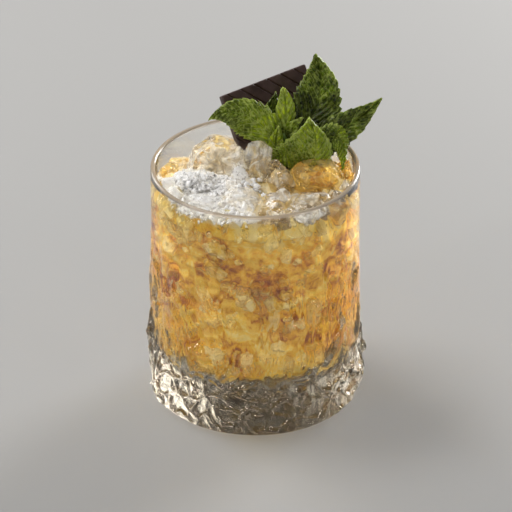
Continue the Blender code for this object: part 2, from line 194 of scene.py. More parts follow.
# The stem of the mint and the leaves' outline, as in the frame
STEM_RADIUS = 0.0012
STEM_FOOT = Vector((0.0155, 0.0045, 0.0900))
STEM_MIDDLE = Vector((0.0134, 0.0050, 0.1009))
STEM_TOP = Vector((0.0110, 0.0060, 0.1114))
STEM_TAPER = 0.25
BUD_SHARE = 0.93
BUD_RADIUS = 0.0022
PETIOLE_SHARE = 0.12
PETIOLE_WIDTH = 0.07
CHORD_WEIGHT = 1.2
LEAF_START = 0.6
OVATE = 0.62
FULLNESS = 0.75

# Each leaf. As in the frame: how far up the stem it grows, the point its midrib bends towards, its tip, its
# half widths to the left and right of the midrib, the way its near face looks, and the degrees its halves
# fold up. Then how bright it is at its stalk and at its tip, from 0 for painted shade as in a dark hollow to
# 1 for the palest young leaf, and how much brighter its right half is painted. This brightness is partly the
# leaves' own colour and partly painted light and shade: darker at the stalk and on leaves that lie in shade
LEAVES = {
    "front": (
        0.10, (0.0283, -0.0060, 0.1040), (0.0210, -0.0015, 0.1222),
        (0.0165, 0.0074), (0.0, -1.0, 0.1), (-3, -20), (0.40, 0.60, 0.16),
    ),
    "left_low": (
        0.24, (0.0053, 0.0040, 0.1044), (0.0092, 0.0035, 0.1157),
        (0.0042, 0.0042), (0.1, -1.0, 0.1), (4, 4), (0.80, 0.80, 0.0),
    ),
    "right_low": (
        0.40, (0.0384, 0.0060, 0.1224), (0.0336, 0.0010, 0.0964),
        (0.0055, 0.0055), (0.2, -1.0, 0.2), (-8, -8), (0.35, 0.70, 0.0),
    ),
    "left": (
        0.46, (-0.0036, 0.0055, 0.1290), (-0.0180, -0.0020, 0.1212),
        (0.0086, 0.0072), (-0.2, -1.0, 0.4), (-12, -4), (0.72, 0.42, 0.0),
    ),
    "right": (
        0.62, (0.0329, 0.0100, 0.1062), (0.0495, 0.0150, 0.1218),
        (0.0074, 0.0070), (-0.2, -1.0, 0.1), (6, 8), (0.08, 0.34, 0.0),
    ),
    "back": (
        0.78, (0.0312, 0.0195, 0.1178), (0.0236, 0.0230, 0.1370),
        (0.0102, 0.0102), (-0.1, -1.0, 0.25), (10, 6), (-0.12, 0.50, 0.0),
    ),
    "left_back": (
        0.84, (0.0040, 0.0125, 0.1140), (0.0080, 0.0135, 0.1253),
        (0.0047, 0.0047), (0.2, -1.0, 0.1), (8, 8), (0.30, 0.36, 0.0),
    ),
    "young": (
        0.93, (0.0126, 0.0086, 0.1212), (0.0106, 0.0108, 0.1287),
        (0.0040, 0.0042), (0.2, -1.0, 0.2), (-10, -14), (0.76, 0.95, 0.0),
    ),
    "curled": (
        0.82, (0.0144, 0.0044, 0.1118), (0.0186, 0.0052, 0.1184),
        (0.0044, 0.0026), (0.0, -0.3, 1.0), (50, 10), (0.15, 0.60, 0.0),
    ),
}

# How sharply each leaf's outline comes to its tip
TIP_SHARPNESS = 0.95
BLUNTER_TIPS = {"young": 0.60, "back": 0.85}

# The finer shape of the leaves
BLADE_STEP = 0.00027
BLADE_THICKNESS = 0.00035
TOOTH_SPACING = 0.0019
TOOTH_DEPTH = 0.20
SIDE_VEIN_SPACING = 0.0023
VEIN_SLANT = 0.9
VEIN_BEND = 22.0
VEIN_WIDTH = 0.00023
MIDRIB_WIDTH = 0.00030
MIDRIB_DEPTH = 0.00040
QUILT_HEIGHT = 0.00110
NET_WIDTH = 0.0013
NET_WARP_WIDTH = 0.004
NET_HEIGHT = 0.00050
NET_LINE = 0.18
EDGE_WAVE = 0.0020
EDGE_WAVE_LENGTH = 0.0050

# Leaves that turn over part of the way along: where, and the way their near face looks from there on
TURNS = {
    "left": (0.50, (-0.35, -0.65, 0.85)),
    "right": (0.45, (0.15, -1.0, 0.45)),
    "back": (0.55, (-0.35, -1.0, 0.35)),
    "right_low": (0.50, (0.45, -0.9, 0.5)),
}

# The camera, fitted to the photograph
CAMERA_TARGET = Vector((0.0003, 0.0, 0.059))
CAMERA_DISTANCE = 1.6
CAMERA_ELEVATION = math.radians(30.48)
CAMERA_LENS = 284.6
CAMERA_SENSOR = 36.0

LIGHTS_AIM = Vector((0.0, 0.0, 0.06))
FLOOR_REACH = 2.0
FLOOR_GAP = 0.0002

SEED = 7


# Meshes

def smooth_step(low, high, value):
    share = min(1.0, max(0.0, (value - low) / (high - low)))
    return share * share * (3.0 - 2.0 * share)


def arc(centre_r, centre_z, radius, start_degrees, end_degrees, steps):
    """Points (r, z) along an arc, both ends included."""
    points = []
    for step in range(steps + 1):
        angle = math.radians(start_degrees + (end_degrees - start_degrees) * step / steps)
        points.append((centre_r + radius * math.cos(angle), centre_z + radius * math.sin(angle)))
    return points


def new_piece(name, points, faces, material):
    mesh = bpy.data.meshes.new(name)
    mesh.from_pydata([tuple(point) for point in points], [], faces)
    mesh.materials.append(material)
    mesh.shade_smooth()
    made = bpy.data.objects.new(name, mesh)
    bpy.context.scene.collection.objects.link(made)
    return made


def turned(profile, sectors, shape):
    """Points and faces turned about Z from a profile with both ends on the axis, placed by shape."""
    points = [(0.0, 0.0, profile[0][1])]
    for radius, z in profile[1:-1]:
        points.extend(shape(math.tau * sector / sectors, radius, z) for sector in range(sectors))
    points.append((0.0, 0.0, profile[-1][1]))
    faces = []
    last_ring = 1 + (len(profile) - 3) * sectors
    for sector in range(sectors):
        following = (sector + 1) % sectors
        faces.append((0, 1 + following, 1 + sector))
        for ring in range(1, last_ring, sectors):
            faces.append(
                (ring + sector, ring + following, ring + sectors + following, ring + sectors + sector)
            )
        faces.append((len(points) - 1, last_ring + sector, last_ring + following))
    return points, faces


def round_about(angle, radius, z):
    """The point at an angle and radius about Z."""
    return (radius * math.cos(angle), radius * math.sin(angle), z)


# The glass

def drift(place):
    """A smooth change of place, the same for each run."""
    return Vector((noise.noise(place), noise.noise(place + DRIFT_STEP), noise.noise(place - DRIFT_STEP)))


def relief_height(angle, z):
    """How far the glass's outer wall stands out from the plain cylinder, as in the frame."""
    fade = 1.0 - smooth_step(RELIEF_TOP - RELIEF_FADE, RELIEF_TOP, z)
    fade *= smooth_step(0.0, RELIEF_START, z)
    low_part = min(z, DENT_STRETCH_ABOVE)
    high_part = max(0.0, z - DENT_STRETCH_ABOVE) * DENT_STRETCH
    place = Vector(round_about(angle, RIM_RADIUS, low_part + high_part))
    swell = noise.noise(place / SWELL_WIDTH + SWELL_SHIFT)
    warp = drift(place / SWELL_WIDTH) * RELIEF_WARP
    nearest = noise.voronoi(place / DENT_WIDTH + warp)[0][0]
    dent = min(1.0, nearest) ** 2 - DENT_MIDDLE
    return fade * (SWELL_HEIGHT * swell + DENT_DEPTH * dent)


def fine_relief(angle, z):
    """Streams and runs down the wall, and winding ridges and pebbles on the thick base."""
    fade = 1.0 - smooth_step(RELIEF_TOP - RELIEF_FADE, RELIEF_TOP, z)
    fade *= smooth_step(0.0, FINE_START, z)
    place = Vector(round_about(angle, RIM_RADIUS, z))
    warped = place + drift(place / WARP_WIDTH) * WARP_REACH
    stretched = Vector((warped.x / STREAM_WIDTH, warped.y / STREAM_WIDTH, warped.z / STREAM_LENGTH))
    height = STREAM_HEIGHT * (0.5 - abs(noise.noise(stretched)) * 2.0)
    height += run_height(angle, z)
    on_base = 1.0 - smooth_step(PEBBLE_TOP * 0.6, PEBBLE_TOP, z)
    if on_base > 0.0:
        nearest = noise.voronoi(warped / RIDGE_SPACING)[0]
        ridge = math.exp(-(((nearest[1] - nearest[0]) / RIDGE_SHARPNESS) ** 2))
        pebble = noise.noise(warped / PEBBLE_WIDTH)
        height += on_base * (RIDGE_HEIGHT * ridge + PEBBLE_HEIGHT * pebble)
    return fade * height


def run_height(angle, z):
    """How far the frozen runs stand out at that place."""
    height = 0.0
    for start_degrees, start_z, end_degrees, end_z, stands_out in RUNS:
        if not end_z - RUN_WIDTH * 2.0 < z < start_z + RUN_WIDTH * 2.0:
            continue
        drop = start_z - end_z
        turn = end_degrees - start_degrees
        along = min(1.0, max(0.0, (start_z - z) / drop))
        on_line = math.radians(start_degrees + turn * along)
        aside = (angle - on_line + math.pi) % math.tau - math.pi
        slant = drop / math.hypot(drop, RIM_RADIUS * math.radians(turn))
        beyond = max(0.0, z - start_z, end_z - z)
        distance = math.hypot(aside * RIM_RADIUS * slant, beyond)
        wander = 1.0 + RUN_WANDER * noise.noise(Vector((z / RUN_WANDER_LENGTH, start_degrees, 0.0)))
        grown = 0.2 + 0.8 * smooth_step(0.0, 0.5, along)
        height += stands_out * grown * math.exp(-((distance / (RUN_WIDTH * wander)) ** 2))
    return height


def inner_radius(z):
    """The cavity's radius at a height, with its rounded corner."""
    low = BASE_THICKNESS + CAVITY_CORNER_RADIUS
    if z < low:
        drop = min(low - z, CAVITY_CORNER_RADIUS)
        return CAVITY_RADIUS_LOW - CAVITY_CORNER_RADIUS + math.sqrt(CAVITY_CORNER_RADIUS**2 - drop**2)
    share = (z - low) / (GLASS_HEIGHT - low)
    return CAVITY_RADIUS_LOW + (RIM_RADIUS - RIM_WALL - CAVITY_RADIUS_LOW) * share


def cavity_profile(top, gap, steps=24):
    """The cavity's wall from the axis up to a height, drawn in by a gap, as (r, z) points."""
    low = BASE_THICKNESS + CAVITY_CORNER_RADIUS
    corner = arc(
        CAVITY_RADIUS_LOW - CAVITY_CORNER_RADIUS, low, CAVITY_CORNER_RADIUS - gap, -90.0, 0.0, steps
    )
    heights = [low + (top - low) * step / steps for step in range(1, steps + 1)]
    return [(0.0, BASE_THICKNESS + gap)] + corner + [(inner_radius(z) - gap, z) for z in heights]


def make_glass(material):
    foot = [(0.0, 0.0)] + arc(RIM_RADIUS - FOOT_FILLET, FOOT_FILLET, FOOT_FILLET, -90.0, 0.0, 6)
    rows = [FOOT_FILLET + (PEBBLE_TOP - FOOT_FILLET) * (row + 1) / BASE_ROWS for row in range(BASE_ROWS)]
    rows += [PEBBLE_TOP + (RELIEF_TOP - PEBBLE_TOP) * (row + 1) / WALL_ROWS for row in range(WALL_ROWS)]
    lip_z = GLASS_HEIGHT - RIM_WALL / 2
    lip = arc(RIM_RADIUS - RIM_WALL / 2, lip_z, RIM_WALL / 2, 0.0, 180.0, 12)
    inside = list(reversed(cavity_profile(GLASS_HEIGHT * 0.985, 0.0, 18)))
    outer = foot + [(RIM_RADIUS, z) for z in rows]
    fillet_start = RIM_RADIUS - FOOT_FILLET * 0.6
    carved = {(radius, z) for radius, z in outer if radius > fillet_start and z < RELIEF_TOP}

    def shape(angle, radius, z):
        if (radius, z) in carved:
            radius += relief_height(angle, z) + fine_relief(angle, z)
        return round_about(angle, radius, z)

    points, faces = turned(outer + lip + inside, GLASS_SECTORS, shape)
    return new_piece("glass_wall", points, faces, material)


# The drink

def heap_height(x, y):
    """The top of the ice at that place, as in the frame, without its largest lumps."""
    wall = inner_radius(DRINK_LEVEL)
    radius = min(1.0, math.hypot(x - HEAP_MIDDLE[0], y - HEAP_MIDDLE[1]) / wall)
    back_left = max(0.0, y - x) / (wall * math.sqrt(2.0))
    front = max(0.0, -y / wall)
    top = HEAP_EDGE + HEAP_RISE * (1.0 - radius**HEAP_ROUNDNESS)
    at_wall = smooth_step(*AT_WALL, math.hypot(x, y) / wall)
    sides = at_wall * smooth_step(*SIDES_BEGIN, -y / wall) * (1.0 - smooth_step(*SIDES_END, -y / wall))
    top += max(HEAP_HIGH_FRONT * front**2, HEAP_HIGH_SIDES * sides) - HEAP_LOW_BACK * back_left
    return top + HEAP_GRAIN * noise.noise(Vector((x, y, 0.0)) / HEAP_GRAIN_WIDTH)


def soaked_height(x, y):
    """How high the drink stands at that place: it creeps up in the ice at the wall."""
    at_wall = smooth_step(*CREEP, math.hypot(x, y) / inner_radius(DRINK_LEVEL))
    crept = max(0.0, heap_height(x, y) - HEAP_DRY - DRINK_LEVEL)
    return DRINK_LEVEL + crept * at_wall


def make_liquid(material):
    """The liquid, which reaches just into the wall so that no air shows between them."""
    below = cavity_profile(DRINK_LEVEL - HEAP_DRY, -WALL_OVERLAP)
    wall = below[-1][0]
    above = [(wall * (1.0 - ring / LIQUID_RINGS), DRINK_LEVEL) for ring in range(LIQUID_RINGS)]

    def shape(angle, radius, z):
        x, y, z = round_about(angle, radius, z)
        if z >= DRINK_LEVEL:
            z = soaked_height(x, y)
            stretch = (inner_radius(z) + WALL_OVERLAP) / wall
            x, y = x * stretch, y * stretch
        return (x, y, z)

    points, faces = turned(below + above + [(0.0, DRINK_LEVEL)], LIQUID_SECTORS, shape)
    return new_piece("amber_liquid", points, faces, material)


def make_slush(material):
    """The packed ice deep in the drink: a lumpy core."""
    foot_z = BASE_THICKNESS + SLUSH_INSET * 0.5
    rows, sectors = 110, 260
    heights = [foot_z + (SLUSH_TOP - foot_z) * row / rows for row in range(rows + 1)]
    wall = [(inner_radius(z) - SLUSH_INSET, z) for z in heights]
    floor_rings = [(wall[0][0] * share, foot_z) for share in (0.25, 0.5, 0.75)]
    profile = [(0.0, foot_z)] + floor_rings + wall + [(0.0, SLUSH_TOP)]

    def shape(angle, radius, z):
        place = Vector(round_about(angle, radius, z))
        warp = drift(place / SLUSH_LUMP_WIDTH) * 0.5
        near = noise.voronoi(place / SLUSH_LUMP_WIDTH + warp)[0][0]
        lump = SLUSH_RELIEF * (0.55 - near) + SLUSH_GRAIN * noise.noise(place / SLUSH_GRAIN_WIDTH)
        return round_about(angle, radius + lump, z)

    points, faces = turned(profile, sectors, shape)
    return new_piece("packed_ice", points, faces, material)


# The ice

def unit_sphere(subdivisions):
    """The directions and faces of an even sphere."""
    built = bmesh.new()
    bmesh.ops.create_icosphere(built, subdivisions=subdivisions, radius=1.0)
    directions = np.array([vert.co.normalized() for vert in built.verts])
    faces = [[vert.index for vert in face.verts] for face in built.faces]
    built.free()
    return directions, faces


def broken_shape(directions, rng, facets, sharpness):
    """How far a lump reaches in each direction: flat breaks with slightly rounded edges between them."""
    normals = rng.normal(size=(facets, 3))
    normals /= np.linalg.norm(normals, axis=1)[:, None]
    distances = rng.uniform(0.72, 1.0, facets)
    facing = np.clip(directions @ normals.T, 0.0, None) / distances
    return ((facing**sharpness).sum(axis=1) + 1e-5) ** (-1.0 / sharpness)


def random_turn(rng):
    axis = Vector(rng.normal(size=3)).normalized()
    return np.array(Matrix.Rotation(rng.uniform(0.0, math.tau), 3, axis))


def kept_inside(points, margin):
    """Points drawn in where they would reach into the glass."""
    for point in points:
        radius = math.hypot(point[0], point[1])
        limit = inner_radius(point[2]) - margin
        if radius > limit:
            point[0] *= limit / radius
            point[1] *= limit / radius
    return points


def joined_lumps(name, lumps, material, looks=None):
    """One piece from many lumps of points and faces. looks says how clear and how golden each lump is."""
    points, faces = [], []
    for lump_points, lump_faces in lumps:
        start = len(points)
        points.extend(lump_points)
        faces.extend([[index + start for index in face] for face in lump_faces])
    made = new_piece(name, points, faces, material)
    if looks:
        counts = [len(lump_points) for lump_points, _ in lumps]
        add_values(made, "clear", np.repeat([clear for clear, _ in looks], counts))
        add_values(made, "gold", np.repeat([gold for _, gold in looks], counts))
    return made


def add_values(piece, name, values):
    """Gives each point of a piece a number that its material reads."""
    attribute = piece.data.attributes.new(name, "FLOAT", "POINT")
    attribute.data.foreach_set("value", np.array(values, dtype=np.float32))


def make_heap_core(material):
    """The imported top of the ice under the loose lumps."""
    wall = inner_radius(DRINK_LEVEL) - HEAP_INSET
    low = DRINK_LEVEL - HEAP_CORE_FOOT
    rows, rings, sectors = 12, 70, 200
    profile = [(0.0, low)] + [(wall, low + (DRINK_LEVEL - low) * row / rows) for row in range(rows)]
    profile += [(wall * (1.0 - ring / rings), 0.0) for ring in range(rings)] + [(0.0, 0.0)]

    def shape(angle, radius, z):
        x, y, _ = round_about(angle, radius, z)
        top = heap_height(x, y) - HEAP_CORE_DEPTH
        if z < low:
            grain_place = Vector((x, y, 0.0)) / HEAP_CORE_GRAIN_WIDTH
            z = top + HEAP_CORE_GRAIN * noise.fractal(grain_place, 1.0, 2.0, 4)
        elif radius > wall * 0.99:
            z = low + (top - low) * (z - low) / (DRINK_LEVEL - low)
            near = noise.voronoi(Vector((x, y, z)) / SLUSH_LUMP_WIDTH)[0][0]
            lump = 1.0 + SLUSH_RELIEF * (0.5 - near) / wall
            x, y = x * lump, y * lump
        return (x, y, z)

    points, faces = turned(profile, sectors, shape)
    points[-1] = shape(0.0, 0.0, 0.0)
    return new_piece("heap_core", points, faces, material)


def make_ice_lumps(material):
    """The largest lumps on top of the heap."""
    directions, faces = unit_sphere(5)
    rng = np.random.default_rng(SEED)
    lumps = []
    for centre, radii, clear, _ in ICE_LUMPS + SMALL_LUMPS:
        reach = broken_shape(directions, rng, LUMP_FACETS, LUMP_SHARPNESS)
        points = directions * reach[:, None] * LUMP_FULLNESS
        for point, direction in zip(points, directions):
            place = Vector(direction * 2.6 + np.array(centre) * 500.0)
            nearest = noise.voronoi(place * 1.1 + drift(place) * 0.5)[0]
            chipped = min(0.6, nearest[0]) ** 2 - 0.15
            rough = max(0.0, 0.8 - clear) * LUMP_GRIT * noise.fractal(place * 1.2, 0.7, 2.0, 5)
            point *= 1.0 + LUMP_WAVES * noise.noise(place) + LUMP_PITS * chipped + rough
        points = points * np.array(radii) + np.array(centre)
        lumps.append((kept_inside(points, CLEARANCE), faces))
    return joined_lumps("ice_lumps", lumps, material, [lump[2:] for lump in ICE_LUMPS + SMALL_LUMPS])


def make_clouds(material):
    """The cloudy hearts of the clear lumps."""
    directions, faces = unit_sphere(4)
    lumps = []
    for centre, radii, _, _ in ICE_LUMPS:
        points = directions.copy()
        for point in points:
            place = Vector(point * 1.7 + np.array(centre) * 700.0)
            point *= CLOUD_SHARE * (1.0 + 0.9 * noise.fractal(place, 0.9, 2.0, 3))
        lumps.append((points * np.array(radii) + np.array(centre), faces))
    return joined_lumps("ice_clouds", lumps, material, [lump[2:] for lump in ICE_LUMPS])


def shard_kinds(rng, melted=True):
    """Unit pieces of crushed ice: hulls of random corners, with melted or sharp edges."""
    kinds = []
    for _ in range(SHARD_KINDS):
        corners = rng.normal(size=(SHARD_CORNERS, 3))
        corners *= (rng.uniform(0.75, 1.0, SHARD_CORNERS) / np.linalg.norm(corners, axis=1))[:, None]
        built = bmesh.new()
        verts = [built.verts.new(corner) for corner in corners]
        hull = bmesh.ops.convex_hull(built, input=verts)
        left_over = hull["geom_interior"] + hull["geom_unused"]
        loose = {item for item in left_over if isinstance(item, bmesh.types.BMVert)}
        bmesh.ops.delete(built, geom=list(loose), context="VERTS")
        if melted:
            bmesh.ops.bevel(
                built, geom=list(built.edges), affect="EDGES",
                offset=SHARD_BEVEL, segments=2, profile=0.5, clamp_overlap=True,
            )
        built.verts.index_update()
        points = np.array([vert.co for vert in built.verts])
        points /= np.maximum(1.0, np.linalg.norm(points, axis=1))[:, None]
        kinds.append((points, [[vert.index for vert in face.verts] for face in built.faces]))
        built.free()
    return kinds


def placed_shard(kinds, rng, size, place):
    """One unit piece stretched, turned and put in its place."""
    points, faces = kinds[rng.integers(len(kinds))]
    turned_points = (points * rng.uniform(0.55, 1.30, 3)) @ random_turn(rng).T * size
    return turned_points + np.array(place), faces


def scattered(rng, radii):
    """The size, distance and angle of one of many pieces spread evenly over the round of the glass."""
    size = rng.uniform(*radii)
    distance = (inner_radius(DRINK_LEVEL) - size) * math.sqrt(rng.uniform())
    return size, distance, rng.uniform(0.0, math.tau)


def make_ice_chips(material):
    """Crushed ice between the heap's largest lumps, and pressed against the wall in front."""
    rng = np.random.default_rng(SEED + 1)
    kinds = shard_kinds(rng)
    wall = inner_radius(DRINK_LEVEL)
    shards, looks = [], []
    for number in range(CHIP_COUNT + WALL_CHIP_COUNT):
        size, distance, angle = scattered(rng, CHIP_RADII)
        lift = 0.4
        if number >= CHIP_COUNT:
            distance = wall - size * 0.85
            angle = rng.uniform(-0.95, -0.05) * math.pi
            lift = rng.uniform(0.3, 0.9)
        x, y, _ = round_about(angle, distance, 0.0)
        z = heap_height(x, y) - HEAP_CORE_DEPTH + size * lift
        points, faces = placed_shard(kinds, rng, size, (x, y, z))
        shards.append((kept_inside(points, CLEARANCE), faces))
        thick = frosty(x, y)
        looks.append((rng.uniform(0.54, 1.04) - 0.5 * thick, rng.uniform(0.0, 0.50) * (1.0 - thick)))
    return joined_lumps("ice_chips", shards, material, looks)


def frosty(x, y):
    """How thickly white frost lies at that place, from 0 to 1."""
    left = 1.0 - smooth_step(-0.008, 0.006, x + 0.002 * noise.noise(Vector((x, y, 0.0)) / 0.006))
    return left * (1.0 - smooth_step(0.006, 0.020, y))


def make_frost(material):
    """Fine white grains of snow-like ice over the left of the heap."""
    rng = np.random.default_rng(SEED + 3)
    kinds = shard_kinds(rng, melted=False)
    grains = []
    while len(grains) < GRAIN_COUNT:
        size, distance, angle = scattered(rng, GRAIN_RADII)
        x, y, _ = round_about(angle, distance, 0.0)
        if rng.uniform() > frosty(x, y) + 0.02:
            continue
        z = max(heap_height(x, y) - HEAP_CORE_DEPTH, lump_top(x, y)) + size * rng.uniform(-0.2, 0.6)
        points, faces = placed_shard(kinds, rng, size, (x, y, z))
        grains.append((kept_inside(points, CLEARANCE), faces))
    return joined_lumps("frost_grains", grains, material)


def lump_top(x, y):
    """The top of the large white lumps at that place, or the foot of the glass where there is none."""
    tops = [0.0]
    for centre, radii, clear, _ in ICE_LUMPS:
        aside = ((x - centre[0]) / radii[0]) ** 2 + ((y - centre[1]) / radii[1]) ** 2
        if aside < 0.9 and clear < 0.4:
            tops.append(centre[2] + radii[2] * math.sqrt(1.0 - aside) * 0.93)
    return max(tops)


def make_sunk_ice(material):
    """Crushed ice in the drink, pressed against the wall."""
    rng = np.random.default_rng(SEED + 2)
    kinds = shard_kinds(rng, melted=False)
    shards = []
    low = BASE_THICKNESS + SUNK_FOOT
    wall = inner_radius(DRINK_LEVEL)
    for _ in range(SUNK_COUNT):
        size = SUNK_RADII[0] + (SUNK_RADII[1] - SUNK_RADII[0]) * rng.uniform() ** 1.5
        angle = rng.uniform(0.0, math.tau)
        high = soaked_height(*round_about(angle, wall, 0.0)[:2]) - size * 0.4
        z = rng.uniform(DRINK_LEVEL - SUNK_TOP_DEPTH if rng.uniform() < SUNK_AT_TOP else low, high)
        distance = inner_radius(z) - size * rng.uniform(0.7, 1.0) - SLUSH_INSET * rng.uniform() ** 2
        points, faces = placed_shard(kinds, rng, size, round_about(angle, distance, z))
        points[:, 2] = np.maximum(points[:, 2], BASE_THICKNESS + CLEARANCE * 2)
        shards.append((kept_inside(points, CLEARANCE * rng.uniform(1.5, 4.0)), faces))
    made = joined_lumps("sunk_ice", shards, material)
    made.data.shade_flat()
    return made


# The mint

def between(start, bend, end, share):
    """A point on the curve from start to end that leans towards bend."""
    rest = 1.0 - share
    return start * (rest * rest) + bend * (2.0 * rest * share) + end * (share * share)


def stem_point(share):
    """A point on the stem's curve through its middle."""
    return between(STEM_FOOT, STEM_MIDDLE * 2 - (STEM_FOOT + STEM_TOP) / 2, STEM_TOP, share)


def leaf_width(share, tip_sharpness):
    """An ovate outline: a narrow stalk, widest before the middle, and a pointed tip."""
    along_blade = min(1.0, max(0.0, (share - PETIOLE_SHARE) / (1.0 - PETIOLE_SHARE)))
    power = FULLNESS + (tip_sharpness - FULLNESS) * smooth_step(0.60, 1.0, along_blade)
    stalk = PETIOLE_WIDTH * (1.0 - 0.8 * along_blade)
    return stalk + (1.0 - PETIOLE_WIDTH) * math.sin(math.pi * along_blade**OVATE) ** power


def leaf_relief(along, aside, length, reach):
    """How far the blade stands out, how much the place is a vein, and its painted crest light and crease
    shade.
    """
    number = (along - VEIN_SLANT * aside - VEIN_BEND * aside * aside) / SIDE_VEIN_SPACING
    to_side_vein = abs(number - round(number)) * 2.0
    side_vein = math.exp(-((to_side_vein * SIDE_VEIN_SPACING * 0.35 / VEIN_WIDTH) ** 2))
    midrib = math.exp(-((aside / MIDRIB_WIDTH) ** 2))
    place = Vector((along, aside, length))
    nearest = noise.voronoi(place / NET_WIDTH + drift(place / NET_WARP_WIDTH) * 0.4)[0]
    gap = nearest[1] - nearest[0]
    net_line = math.exp(-((gap / NET_LINE) ** 2))
    pillow = min(1.0, gap * 1.8)
    pillow *= 2.0 - pillow
    quilt = 1.0 - (1.0 - to_side_vein) ** 2
    border = reach * 0.2 + 1e-6
    inside = min(1.0, aside / border) * min(1.0, (reach - aside) / border + 0.25)
    height = inside * (QUILT_HEIGHT * quilt + NET_HEIGHT * pillow) - MIDRIB_DEPTH * midrib
    edge = smooth_step(0.90, 1.0, aside / reach)
    vein = max(midrib, side_vein, net_line * 0.75, edge * 0.7)
    # Painted shade: low in the creases by the side veins and the net, high on the crests
    return height, vein, (0.40 + 0.60 * quilt) * (0.60 + 0.40 * pillow)


def leaf_grid(name):
    """The blade's places row by row from stalk to tip, and the number of columns.

    Each place is a point, how much it belongs to a vein, its painted light on crests and painted shade in
    creases,
    and how bright it is: its own tone together with painted shade at the stalk and painted light on one
    half."""
    height, bend, tip, half_widths, facing, folds, (stalk_tone_and_shade, tip_tone_and_shade, painted_right_half_light) = LEAVES[name]
    bend, tip, facing = Vector(bend), Vector(tip), Vector(facing)
    root = stem_point(height)
    on_bud = (root - stem_point(BUD_SHARE)).length < BUD_RADIUS * 0.8
    base = root + (bend - root).normalized() * (BUD_RADIUS if on_bud else STEM_RADIUS) * LEAF_START
    chord = (tip - base).normalized()
    length = (bend - base).length * 0.5 + (tip - bend).length * 0.5
    rows = round(length / BLADE_STEP)
    columns = 2 * round(sum(half_widths) / BLADE_STEP / 2)
    teeth = round(length / TOOTH_SPACING)
    turn_at, turned_facing = TURNS.get(name, (0.5, facing))
    tip_sharpness = BLUNTER_TIPS.get(name, TIP_SHARPNESS)
    places = []
    for row in range(rows + 1):
        share = row / rows
        looks = facing.lerp(Vector(turned_facing), smooth_step(turn_at - 0.15, turn_at + 0.15, share))
        tangent = ((bend - base) * (1.0 - share) + (tip - bend) * share).normalized()
        forward = (tangent + chord * CHORD_WEIGHT).normalized()
        side = forward.cross(looks).normalized()
        lift = side.cross(forward)
        middle = between(base, bend, tip, share)
        tooth = (share * teeth) % 1.0
        # Painted shade and light with the leaf's own tone: darker towards the stalk, brighter towards the
        # tip
        tone_and_shade = stalk_tone_and_shade + (tip_tone_and_shade - stalk_tone_and_shade) * smooth_step(0.15, 0.85, share)
        for column in range(columns + 1):
            offset = 2.0 * column / columns - 1.0
            which = 0 if offset < 0 else 1
            fold = math.radians(folds[which])
            reach = half_widths[which] * leaf_width(share, tip_sharpness)
            reach *= 1.0 + TOOTH_DEPTH * (tooth - 0.6) * abs(offset) ** 4 * (1.0 - share * 0.5)
            aside = abs(offset) * reach
            relief, vein, lit_crest = leaf_relief(share * length, aside, length + which * 0.01, reach)
            wave_place = Vector((share * length / EDGE_WAVE_LENGTH, which * 7.3, length * 1000.0))
            relief += EDGE_WAVE * noise.noise(wave_place) * abs(offset) ** 3
            relief *= smooth_step(0.0, PETIOLE_SHARE * 1.5, share)
            out = side * offset * reach * math.cos(fold)
            point = middle + out + lift * (aside * math.sin(fold) + relief)
            # The right half is painted brighter, as painted light
            places.append((point, vein, lit_crest, tone_and_shade + painted_right_half_light * which))
    return places, columns


def make_leaves(material):
    """All leaves as one piece, each a thin blade with veins, blisters and a toothed edge."""
    places, faces = [], []
    for name in LEAVES:
        start = len(places)
        leaf_places, columns = leaf_grid(name)
        places.extend(leaf_places)
        width = columns + 1
        for row in range(len(leaf_places) // width - 1):
            for column in range(columns):
                corner = start + row * width + column
                faces.append((corner, corner + 1, corner + width + 1, corner + width))
    points, veins, lit_crests, tones_and_shades = zip(*places)
    made = new_piece("mint_leaves", points, faces, material)
    for name, values in (("vein", veins), ("lit_crest", lit_crests), ("tone_and_shade", tones_and_shades)):
        add_values(made, name, values)
    solidify = made.modifiers.new("thickness", "SOLIDIFY")
    solidify.thickness = BLADE_THICKNESS
    solidify.offset = 0.0
    return made


def make_stem(material):
    """The stem and the bud at its top, with fine lengthwise ribs."""
    points, faces = [], []
    steps, sectors = 24, 28
    for step in range(steps + 1):
        share = step / steps
        middle = stem_point(share)
        ahead = (stem_point(min(1.0, share + 0.02)) - stem_point(max(0.0, share - 0.02))).normalized()
        across = ahead.cross(Vector((0.0, 1.0, 0.0))).normalized()
        over = across.cross(ahead)
        swelling = math.exp(-(((share - BUD_SHARE) / 0.09) ** 2))
        radius = STEM_RADIUS * (1.0 - STEM_TAPER * share) + (BUD_RADIUS - STEM_RADIUS) * 0.5 * swelling
        for sector in range(sectors):
            angle = math.tau * sector / sectors
            rib = 1.0 + 0.07 * math.cos(4.0 * angle)
            points.append(middle + (across * math.cos(angle) + over * math.sin(angle)) * radius * rib)
    for low in range(0, steps * sectors, sectors):
        high = low + sectors
        for sector in range(sectors):
            following = (sector + 1) % sectors
            faces.append((low + sector, low + following, high + following, high + sector))
    faces.append(tuple(reversed(range(sectors))))
    faces.append(tuple(range(high, high + sectors)))
    return new_piece("mint_stem", points, faces, material)


# Materials

